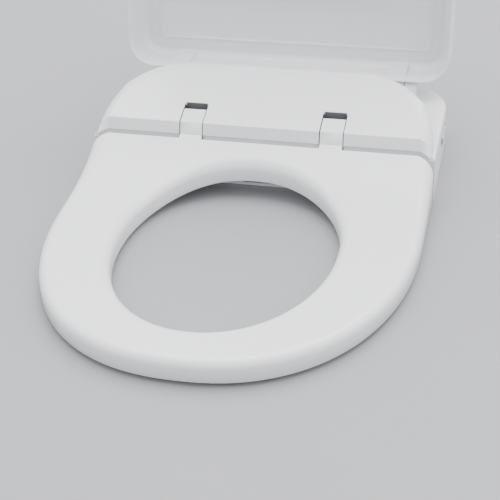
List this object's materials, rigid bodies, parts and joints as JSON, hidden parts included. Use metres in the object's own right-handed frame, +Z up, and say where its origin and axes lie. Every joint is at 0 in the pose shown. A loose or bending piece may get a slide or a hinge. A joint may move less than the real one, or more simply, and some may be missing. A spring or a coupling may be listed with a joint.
{
  "type": "electric bidet seat",
  "caption": "Electric bidet seat with a heated U-shaped ring, hinged lid, sloped rear housing, wash nozzles, warm-air dryer and odour filter.",
  "frame": {"origin": "midway between the two fixing slots, on the plane that rests on the bowl rim", "axes": "+Z up, +X to the right when seen from the front, -Y towards the front of the seat"},
  "size_m": [0.381, 0.5686, 0.5544],
  "materials": {
    "white_gloss": "gloss",
    "white_satin": "satin",
    "buffer_rubber": "matte",
    "heating_foil": "satin",
    "board_green": "satin",
    "steel": "satin",
    "grey_plastic": "satin",
    "dark_plastic": "satin",
    "nozzle_plastic": "gloss",
    "charcoal": "matte",
    "filter_mesh": "matte",
    "tank_plastic": "satin",
    "hose_rubber": "satin",
    "lens": "gloss",
    "panel_grey": "gloss"
  },
  "bodies": {
    "housing": {"hood": "white_gloss", "lower_cover": "white_gloss", "base_tray": "white_satin", "mounting_plate": "steel", "housing_screws": "steel", "seat_hinge_bracket_left": "grey_plastic", "seat_hinge_bracket_right": "grey_plastic", "seat_dampers": "dark_plastic", "lid_hinge_brackets": "white_gloss", "lid_dampers": "dark_plastic", "nozzle_cradle": "grey_plastic", "rear_nozzle_motor": "dark_plastic", "front_nozzle_motor": "dark_plastic", "blower_casing": "grey_plastic", "blower_motor": "dark_plastic", "dryer_duct": "grey_plastic", "dryer_heater": "heating_foil", "odour_fan_frame": "grey_plastic", "water_inlet": "white_satin", "inlet_filter": "filter_mesh", "inlet_valve": "grey_plastic", "heater_tank": "tank_plastic", "water_pump": "grey_plastic", "flow_selector": "grey_plastic", "water_pipes": "hose_rubber", "main_board": "board_green", "power_board": "board_green", "night_light_lens": "lens", "control_panel": "panel_grey", "release_spring": "steel", "cable_gland": "grey_plastic"},
    "seat": {"seat_top_shell": "white_gloss", "seat_bottom_shell": "white_satin", "seat_heating_wire": "heating_foil", "seat_buffers": "buffer_rubber", "seat_occupancy_sensor": "board_green", "seat_hinge_pins": "steel"},
    "lid": {"lid_outer_shell": "white_gloss", "lid_inner_panel": "white_satin", "lid_buffers": "buffer_rubber", "lid_hinge_pins": "steel"},
    "rear_nozzle": {"rear_wash_nozzle": "nozzle_plastic", "rear_wash_tip": "steel"},
    "front_nozzle": {"front_wash_nozzle": "nozzle_plastic", "front_wash_tip": "steel"},
    "rear_pinion": {"rear_nozzle_pinion": "nozzle_plastic"},
    "front_pinion": {"front_nozzle_pinion": "nozzle_plastic"},
    "impeller": {"blower_impeller": "nozzle_plastic"},
    "odour_rotor": {"odour_fan_rotor": "nozzle_plastic"},
    "outlet_flap": {"dryer_flap": "white_satin"},
    "filter_drawer": {"odour_filter_tray": "white_gloss", "odour_filter": "charcoal"},
    "stop_key": {"stop_button": "dark_plastic"},
    "rear_wash_key": {"rear_wash_button": "white_satin"},
    "front_wash_key": {"front_wash_button": "white_satin"},
    "dryer_key": {"dryer_button": "white_satin"},
    "release_key": {"release_button": "white_gloss"}
  },
  "joints": [
    {"name": "seat_hinge", "type": "hinge", "parent": "housing", "child": "seat", "pos_m": [0, -0.062, 0.066], "axis": [-1, 0, 0], "range_deg": [0, 97]},
    {"name": "lid_hinge", "type": "hinge", "parent": "housing", "child": "lid", "pos_m": [0, 0.058, 0.062], "axis": [-1, 0, 0], "range_deg": [-100, 0]},
    {"name": "rear_nozzle_slide", "type": "slide", "parent": "housing", "child": "rear_nozzle", "axis": [0, -0.9816, -0.1908], "range_m": [0, 0.095]},
    {"name": "front_nozzle_slide", "type": "slide", "parent": "housing", "child": "front_nozzle", "axis": [0, -0.9816, -0.1908], "range_m": [0, 0.095]},
    {"name": "rear_pinion_spin", "type": "hinge", "parent": "housing", "child": "rear_pinion", "pos_m": [-0.012, -0.06797, 0.03487], "axis": [-1, 0, 0], "range_deg": [0, 650]},
    {"name": "front_pinion_spin", "type": "hinge", "parent": "housing", "child": "front_pinion", "pos_m": [0.012, -0.06797, 0.03487], "axis": [-1, 0, 0], "range_deg": [0, 650]},
    {"name": "blower_spin", "type": "hinge", "parent": "housing", "child": "impeller", "pos_m": [0.14, 0.01, 0.015], "axis": [0, 0, 1], "continuous": true},
    {"name": "odour_fan_spin", "type": "hinge", "parent": "housing", "child": "odour_rotor", "pos_m": [-0.038, -0.0355, 0.0175], "axis": [0, 1, 0], "continuous": true},
    {"name": "outlet_flap_hinge", "type": "hinge", "parent": "housing", "child": "outlet_flap", "pos_m": [0.042, -0.08325, 0.017], "axis": [-1, 0, 0], "range_deg": [0, 70]},
    {"name": "filter_drawer_slide", "type": "slide", "parent": "housing", "child": "filter_drawer", "axis": [-1, 0, 0], "range_m": [0, 0.06]},
    {"name": "stop_key_press", "type": "slide", "parent": "housing", "child": "stop_key", "axis": [-1, 0, 0], "range_m": [0, 0.0012], "stiffness_N_per_m": 400},
    {"name": "rear_wash_key_press", "type": "slide", "parent": "housing", "child": "rear_wash_key", "axis": [-1, 0, 0], "range_m": [0, 0.0012], "stiffness_N_per_m": 400},
    {"name": "front_wash_key_press", "type": "slide", "parent": "housing", "child": "front_wash_key", "axis": [-1, 0, 0], "range_m": [0, 0.0012], "stiffness_N_per_m": 400},
    {"name": "dryer_key_press", "type": "slide", "parent": "housing", "child": "dryer_key", "axis": [-1, 0, 0], "range_m": [0, 0.0012], "stiffness_N_per_m": 400},
    {"name": "release_press", "type": "slide", "parent": "housing", "child": "release_key", "axis": [-1, 0, 0], "range_m": [0, 0.003], "stiffness_N_per_m": 600}
  ],
  "couplings": [
    {"joint": "rear_pinion_spin", "follows": "rear_nozzle_slide", "rad_per_m": 119.05},
    {"joint": "front_pinion_spin", "follows": "front_nozzle_slide", "rad_per_m": 119.05}
  ]
}
